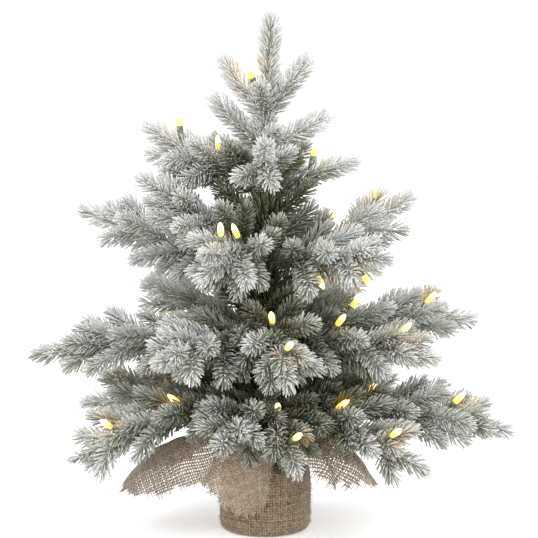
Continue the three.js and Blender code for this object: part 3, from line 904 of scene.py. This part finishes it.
def add_fuzz(build, random, grid, normals, count, colour):
    """Fine fibres that stand off a skin given as a grid of points with their normals."""
    rows, around = grid.shape[:2]
    k, j = random.integers(0, rows - 6, count), random.integers(0, around, count)
    for a, b in zip(k, j):
        foot, out = grid[a, b], normals[a, b]
        way = unit(random.normal(0, 1, 3) * [1, 1, 0.8])
        way = unit(way - out * (way @ out))
        t = np.linspace(0, 1, 4)[:, None]
        long, stand = random.uniform(3, 8) * MM, random.uniform(0.6, 2.8) * MM
        line = foot + way * long * t + out * stand * np.sin(math.pi * t * random.uniform(0.4, 0.95))
        line[:, 2] = np.maximum(line[:, 2], 0.4 * MM)
        add_tube(build, line, 0.2 * MM, 3, (*(colour * random.uniform(0.6, 1.3)), 1))


# The square of cloth that is tied round the neck, as the CAD has it: azimuth, length, droop and share of turn
COLLAR_RADIUS = 15.2
COLLAR_FOOT = 101.5
COLLAR_UP = 11
COLLAR_TURN = 18
COLLAR_LEVEL = -4
COLLAR = np.array([
    [15, 92, -62, 1],
    [75, 168, -58, 1],
    [135, 95, -64, 1],
    [196, 193, -44, 1],
    [222, 124, -58, 0.8],
    [246, 142, -86, 0.5],
    [266, 136, -86, 0.5],
    [287, 40, -40, 1],
    [310, 64, -60, 0.8],
    [328, 130, -78, 1],
    [344, 160, -56, 1],
])
YARN_PITCH = 2.7
YARN_HALF = 0.74  # half a yarn's width where the weave is open
YARN_CLOSE = 0.34  # and how much more it is where the front flap is matted
MATTED_AZIMUTH = 256
MATTED_SPREAD = 20
COLLAR_FUZZ = 520


def collar_at(degrees):
    """Length, droop and share of turn of the cloth at each azimuth."""
    degrees = np.asarray(degrees) % 360
    after = np.searchsorted(COLLAR[:, 0], degrees, side="right") % len(COLLAR)
    low, high = COLLAR[after - 1], COLLAR[after]
    span = (high[..., 0] - low[..., 0]) % 360
    ease = (1 - np.cos(math.pi * ((degrees - low[..., 0]) % 360) / span)) / 2
    return np.moveaxis(low[..., 1:] + (high[..., 1:] - low[..., 1:]) * ease[..., None], -1, 0)


class Collar:
    """Where a point of the flat cloth lies once it is gathered round the neck, in millimetres."""

    STEP = 1.0

    def __init__(self):
        self.degrees = np.arange(360)
        s = np.arange(0, 215, self.STEP)
        length, droop, turn = (row[:, None] for row in collar_at(self.degrees))
        level = COLLAR_UP + COLLAR_TURN
        slope = 90 + (COLLAR_LEVEL - 90) * smooth((s - COLLAR_UP) / COLLAR_TURN)
        slope = slope + (droop - COLLAR_LEVEL) * smooth((s - level) / (length - level) / turn)
        slope = np.radians(slope)
        self.radius = COLLAR_RADIUS + np.cumsum(np.cos(slope), axis=1) * self.STEP
        self.height = COLLAR_FOOT + np.cumsum(np.sin(slope), axis=1) * self.STEP
        self.slope = slope

    def sample(self, table, degrees, s):
        a, b = degrees % 360, np.clip(s / self.STEP, 0, table.shape[1] - 1.001)
        i, k = a.astype(int) % 360, b.astype(int)
        fa, fb = a - np.floor(a), b - k
        j = (i + 1) % 360
        one = table[i, k] * (1 - fb) + table[i, k + 1] * fb
        two = table[j, k] * (1 - fb) + table[j, k + 1] * fb
        return one * (1 - fa) + two * fa

    def place(self, x, y, offset=0.0):
        """Points (n, 3), in metres, of the flat cloth's points x, y, raised by offset from its middle."""
        degrees = np.degrees(np.arctan2(y, x))
        s = np.hypot(x, y) - COLLAR_RADIUS
        radius, height = self.sample(self.radius, degrees, s), self.sample(self.height, degrees, s)
        slope = self.sample(self.slope, degrees, s)
        a = np.radians(degrees)
        loose = smooth((s - 24) / 70)
        folds = 3.6 * np.sin(7 * a + s / 34) + 2.0 * np.sin(12 * a + 1.3 - s / 21)
        pleats = 0.5 * np.sin(22 * a) * (1 - smooth((s - 14) / 30))
        crumple = 0.7 * np.sin(x / 7 + 1.7 * np.sin(y / 11)) * smooth((s - 20) / 30)
        raised = offset + folds * loose + pleats + crumple
        radius, height = radius - raised * np.sin(slope), height + raised * np.cos(slope)
        return np.stack([radius * np.cos(a), radius * np.sin(a), height], -1) * MM

    def room(self, x, y):
        """How much cloth lies between a point and its edge, negative outside."""
        degrees = np.degrees(np.arctan2(y, x))
        ragged = 2.5 * np.sin(degrees * 0.9) + 1.6 * np.sin(degrees * 2.3 + 1)
        return collar_at(degrees)[0] + ragged - (np.hypot(x, y) - COLLAR_RADIUS)


def make_collar():
    """An open plain weave: a patch at each crossing of two yarns, and a bridge to the next along each."""
    collar = Collar()
    random = np.random.default_rng(9)
    reach = math.ceil(210 / YARN_PITCH)
    number = np.arange(-reach, reach + 1)
    i, j = np.meshgrid(number, number, indexing="ij")
    sway = random.normal(0, 0.22, (2, len(number)))
    x = i * YARN_PITCH + sway[0][:, None] + 0.5 * np.sin(j / 5)
    y = j * YARN_PITCH + sway[1][None] + 0.5 * np.sin(i / 6 + 1)
    inside = (collar.room(x, y) > 0) & (np.hypot(x, y) > COLLAR_RADIUS + 0.5)
    index = np.full(inside.shape, -1)
    index[inside] = np.arange(inside.sum())
    azimuth = np.degrees(np.arctan2(y, x)) % 360
    matted = np.exp(-((azimuth - MATTED_AZIMUTH) / MATTED_SPREAD) ** 2)
    half = (YARN_HALF + YARN_CLOSE * matted) * (1 + random.uniform(-0.14, 0.14, (2, *inside.shape)))
    over = np.where((i + j) % 2 == 0, 0.4, -0.4)
    corners = ((-1, -1), (1, -1), (1, 1), (-1, 1))
    places = [
        collar.place((x + a * half[0])[inside], (y + b * half[1])[inside], over[inside]) for a, b in corners
    ]
    points = np.stack(places, 1).reshape(-1, 3)
    patch = index[inside][:, None] * 4
    quads = [patch + np.arange(4)]
    for step, near, far in (((1, 0), (1, 2), (0, 3)), ((0, 1), (3, 2), (0, 1))):
        here = index[: index.shape[0] - step[0], : index.shape[1] - step[1]]
        there = index[step[0]:, step[1]:]
        both = (here >= 0) & (there >= 0)
        a, b = here[both][:, None] * 4, there[both][:, None] * 4
        quad = np.concatenate([a + near[0], b + far[0], b + far[1], a + near[1]], 1)
        quads.append(quad if step[0] else quad[:, ::-1])
    rows, columns = inside.shape
    yarn = random.normal(0, 0.12, rows)[:, None] + random.normal(0, 0.12, columns)[None]
    # Raised crossings lighter and sunk ones darker: painted highlight and painted shade of the weave's
    # relief.
    share = np.clip(0.74 + yarn + 0.4 * over, 0, 1)[inside][:, None]
    tints = np.repeat(np.concatenate([blend(YARN_BROWN, YARN_PALE, share), share], 1), 4, 0)
    build = Build()
    build.add(points, [np.concatenate(quads)], tints)
    cloth = finish_cloth(build, "burlap_collar_cloth", "burlap_collar")
    thickness = cloth.modifiers.new("thickness", "SOLIDIFY")
    thickness.thickness = 0.9 * MM
    thickness.offset = 0
    return cloth, make_fringe(collar, x, y, inside, random)


def make_fringe(collar, x, y, inside, random):
    """Loose yarn ends past the cloth's edge, and fine fibres that stand off the cloth."""
    build = Build()
    free = np.hypot(x, y) > COLLAR_RADIUS + 12
    for i, j in ((1, 0), (-1, 0), (0, 1), (0, -1)):
        outer = inside & ~np.roll(inside, (-i, -j), (0, 1)) & free
        for x0, y0 in zip(x[outer], y[outer]):
            if random.random() < 0.15:
                continue
            long = random.uniform(2.5, 7.5)
            t = np.linspace(-0.1, 1, 4)
            bend = random.uniform(-1.6, 1.6) * t * t
            line = collar.place(x0 + i * long * t + j * bend, y0 + j * long * t + i * bend)
            tint = (*blend(YARN_BROWN, YARN_PALE, random.uniform(0.5, 1)), 1)
            add_tube(build, line, np.linspace(0.75, 0.3, 4) * MM, 4, tint)
    angle, reach = random.uniform(0, 360, COLLAR_FUZZ), random.uniform(0.25, 1, COLLAR_FUZZ)
    length = collar_at(angle)[0]
    for a, share, whole in zip(angle, reach, length):
        rho = COLLAR_RADIUS + 14 + (whole - 14) * share
        x0, y0 = rho * math.cos(math.radians(a)), rho * math.sin(math.radians(a))
        t = np.linspace(0, 1, 5)
        way = random.uniform(0, 2 * math.pi)
        dx, dy = math.cos(way) * 7 * t, math.sin(way) * 7 * t
        lift = 0.4 + random.uniform(1.0, 3.2) * np.sin(t * math.pi * random.uniform(0.5, 1.1))
        tint = (*(YARN_PALE * random.uniform(0.8, 1.2)), 1)
        add_tube(build, collar.place(x0 + dx, y0 + dy, lift), 0.11 * MM, 3, tint)
    return finish_cloth(build, "burlap_collar_fringe", None)


def make_twine():
    """Two turns of twisted twine round the neck, with a knot at the front."""
    ring, foot, knot_side = COLLAR_RADIUS + 3.4, COLLAR_FOOT + 4, 262
    degrees = knot_side + np.linspace(0, 720, 60)
    turns = [at_azimuth(a, ring * MM, (foot + 3 * i / 59) * MM) for i, a in enumerate(degrees)]
    build = Build()
    add_twine(build, turns)
    centre = at_azimuth(knot_side, (ring + 2.4) * MM, (foot + 1.5) * MM)
    across, out = at_azimuth(knot_side + 90, 1, 0), at_azimuth(knot_side, 1, 0)
    t = np.linspace(0, 2 * math.pi, 24)[:, None]
    loop = centre + (across * np.sin(t) * 2.2 + UP * np.sin(2 * t) * 1.6 + out * np.cos(t) * 1.4) * MM
    add_twine(build, loop)
    u = np.array([0, 0.3, 0.6, 1])[:, None]
    for side in (-1, 1):
        tail = centre + (across * side * (2 + 6 * u) + out * (2 + 3 * u) - UP * 20 * u * u) * MM
        add_twine(build, tail)
    finish_cloth(build, "jute_twine", "twine_tie")


def add_twine(build, route):
    tints = [(*(YARN_PALE * (0.75 + 0.1 * strand)), 1) for strand in range(3)]
    add_strands(build, spline(route, 1.2 * MM), tints, 6 * MM, 0.75 * MM, 0.85 * MM)


# ---- CAD nodes that stay ----
def dress_cad_nodes():
    steel = (0.35, (0.03, 0.045, 0.025)), (0.65, (0.05, 0.07, 0.04))
    wire = (0.35, (0.25, 0.25, 0.24)), (0.65, (0.42, 0.42, 0.4))
    tape = (0.35, (0.03, 0.045, 0.018)), (0.65, (0.075, 0.09, 0.04))
    plastic = (0.35, (0.012, 0.011, 0.01)), (0.65, (0.022, 0.02, 0.018))
    cement = (0.3, (0.34, 0.32, 0.29)), (0.7, (0.52, 0.5, 0.46))
    dresses = {
        "trunk_pole": flecked("painted_steel", 0.4, 60, *steel, bump=(700, 0.15)),
        "crown_wire": flecked("drawn_wire", 0.35, 400, *wire, bump=(900, 0.2), Metallic=1.0),
        "trunk_tape": flecked("florist_tape", 0.85, 220, *tape, bump=(500, 0.6)),
        "base_pot": flecked("pot_plastic", 0.5, 90, *plastic, bump=(900, 0.2)),
        "base_weight": flecked("cast_cement", 0.95, 120, *cement, detail=6, bump=(600, 0.7)),
    }
    for node, dress in dresses.items():
        for slot in frame["nodes"][node].material_slots:
            slot.material = dress


# ---- Camera, light and floor ----
CAMERA_LENS = 113.9
CAMERA_AIM = Vector((4.7 * MM, 0, 310 * MM))
CAMERA_DISTANCE = 2.0
CAMERA_ELEVATION = math.radians(7)


LIGHTS_AIM = Vector((0, 0, 280 * MM))
# Each light's name, place, size and power
AREA_LIGHTS = (
    ("key", (-1.1, -1.5, 1.7), 1.1, 22),
    ("fill", (1.5, -1.3, 0.9), 1.4, 10),
    ("top", (0.1, 0.4, 2.0), 1.2, 12),
)


def placed(data, location, aim):
    """The camera or light in the scene, pointed at aim."""
    thing = bpy.data.objects.new(data.name, data)
    bpy.context.scene.collection.objects.link(thing)
    thing.location = location
    thing.rotation_euler = (aim - thing.location).to_track_quat("-Z", "Y").to_euler()
    return thing


def make_camera():
    data = bpy.data.cameras.new("camera")
    data.lens = CAMERA_LENS
    away = Vector((0, -math.cos(CAMERA_ELEVATION), math.sin(CAMERA_ELEVATION)))
    bpy.context.scene.camera = placed(data, CAMERA_AIM + away * CAMERA_DISTANCE, CAMERA_AIM)


def make_stage():
    for name, place, size, power in AREA_LIGHTS:
        data = bpy.data.lights.new(name, "AREA")
        data.size = size
        data.energy = power
        placed(data, place, LIGHTS_AIM)
    world = bpy.data.worlds.new("studio")
    world.use_nodes = True
    background = world.node_tree.nodes["Background"].inputs
    background["Color"].default_value = (1, 1, 1, 1)
    background["Strength"].default_value = 1.0
    bpy.context.scene.world = world
    bpy.context.scene.view_settings.view_transform = "Standard"
    bpy.ops.mesh.primitive_plane_add(size=12, location=(0, 0, 0))
    floor = bpy.context.object
    floor.name = "floor"
    pale, paler = (0.93, 0.93, 0.93), (0.95, 0.95, 0.95)
    floor.data.materials.append(
        flecked("studio_floor", 0.9, 3, (0.3, pale), (0.7, paler), glow=(1, 1, 1), Emission_Strength=0.32)
    )


make_camera()
make_stage()
BRANCHES = recover_branches()
ALL_BULBS = bulb_middles([lamp for branch in BRANCHES for lamp in lamps_of(*branch)] + [CROWN_LAMP])
for branch in BRANCHES:
    grow_branch(*branch)
    light_branch(*branch)
grow_crown()
grow_inner_sprigs()
light_trunk()
make_cover()
cloth, fringe = make_collar()
make_twine()
dress_cad_nodes()
